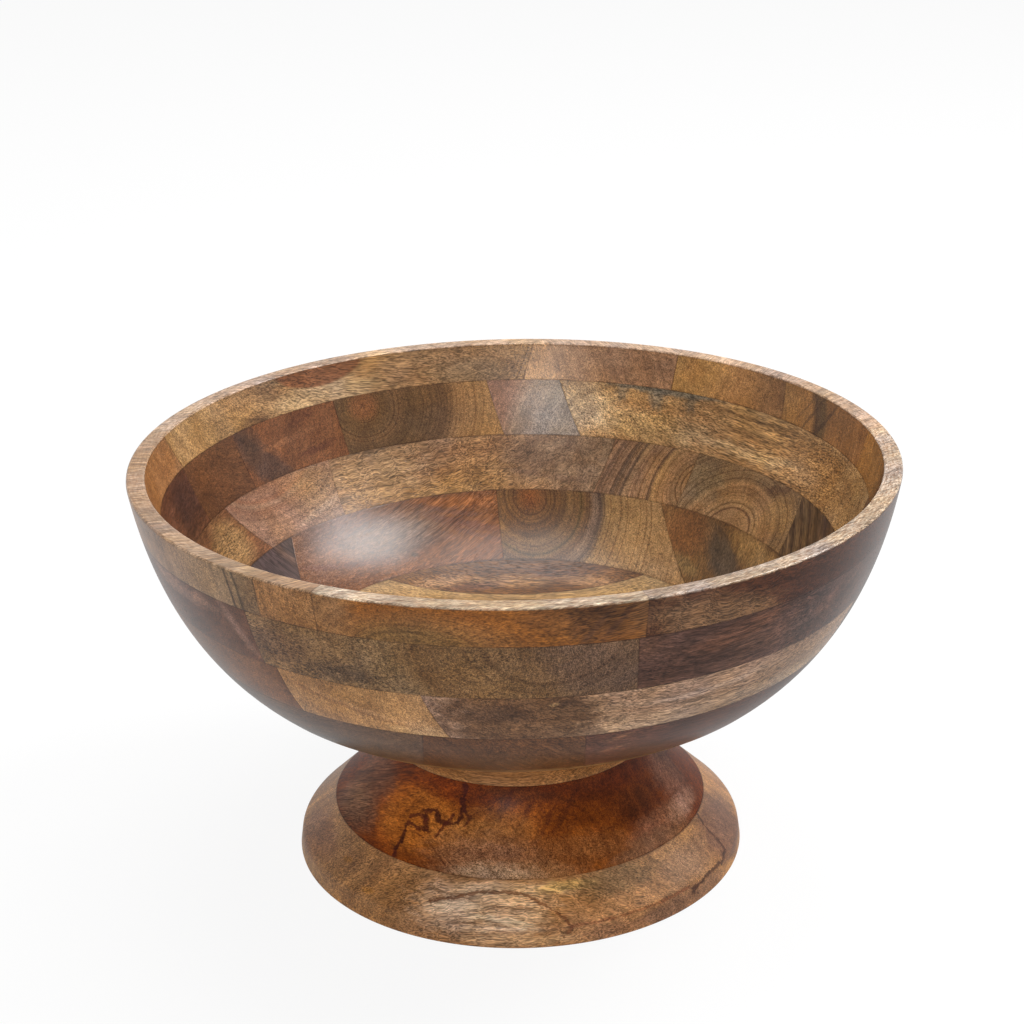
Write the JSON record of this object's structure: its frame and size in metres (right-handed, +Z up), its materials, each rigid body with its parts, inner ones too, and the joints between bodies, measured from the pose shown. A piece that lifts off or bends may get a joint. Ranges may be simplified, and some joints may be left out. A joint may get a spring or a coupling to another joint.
{
  "type": "footed wooden bowl",
  "caption": "Wide round bowl on a flared turned foot, glued up from offset courses of hardwood blocks and turned smooth inside and out.",
  "frame": {"origin": "centre of the foot's flat underside", "axes": "+Z up along the turning axis, -Y is the side that faces the viewer in the picture, +X to the viewer's right"},
  "size_m": [0.2996, 0.2996, 0.1675],
  "materials": {
    "wood_blond": "clear satin lacquer over pale sapwood",
    "wood_tan": "clear satin lacquer over tan wood with short dark pores",
    "wood_honey": "clear satin lacquer over orange-brown wood",
    "wood_russet": "clear satin lacquer over reddish-brown wood",
    "wood_brown": "clear satin lacquer over mid-brown wood",
    "wood_olive": "clear satin lacquer over olive-brown heartwood",
    "wood_umber": "clear satin lacquer over dark brown wood",
    "wood_plum": "clear satin lacquer over purplish-brown heartwood",
    "wood_amber": "clear satin lacquer over orange spalted wood",
    "wood_beech": "plain unfinished dowel wood, hidden inside"
  },
  "bodies": {
    "root": {"foot_base_block": "wood_tan", "foot_upper_block": "wood_amber", "neck_collar": "wood_blond", "centre_dowel": "wood_beech", "floor_board_1": "wood_tan", "floor_board_2": "wood_blond", "floor_board_3": "wood_tan", "floor_board_4": "wood_brown", "fourth_course_block_1": "wood_brown", "fourth_course_block_2": "wood_umber", "fourth_course_block_3": "wood_umber", "fourth_course_block_4": "wood_olive", "fourth_course_block_5": "wood_russet", "fourth_course_block_6": "wood_plum", "fourth_course_block_7": "wood_brown", "third_course_block_1": "wood_blond", "third_course_block_2": "wood_brown", "third_course_block_3": "wood_umber", "third_course_block_4": "wood_tan", "third_course_block_5": "wood_olive", "third_course_block_6": "wood_brown", "third_course_block_7": "wood_russet", "third_course_block_8": "wood_tan", "second_course_block_1": "wood_umber", "second_course_block_2": "wood_plum", "second_course_block_3": "wood_tan", "second_course_block_4": "wood_brown", "second_course_block_5": "wood_olive", "second_course_block_6": "wood_russet", "second_course_block_7": "wood_brown", "second_course_block_8": "wood_plum", "rim_course_block_1": "wood_russet", "rim_course_block_2": "wood_honey", "rim_course_block_3": "wood_brown", "rim_course_block_4": "wood_olive", "rim_course_block_5": "wood_honey", "rim_course_block_6": "wood_russet", "rim_course_block_7": "wood_tan", "rim_course_block_8": "wood_blond"}
  },
  "joints": []
}
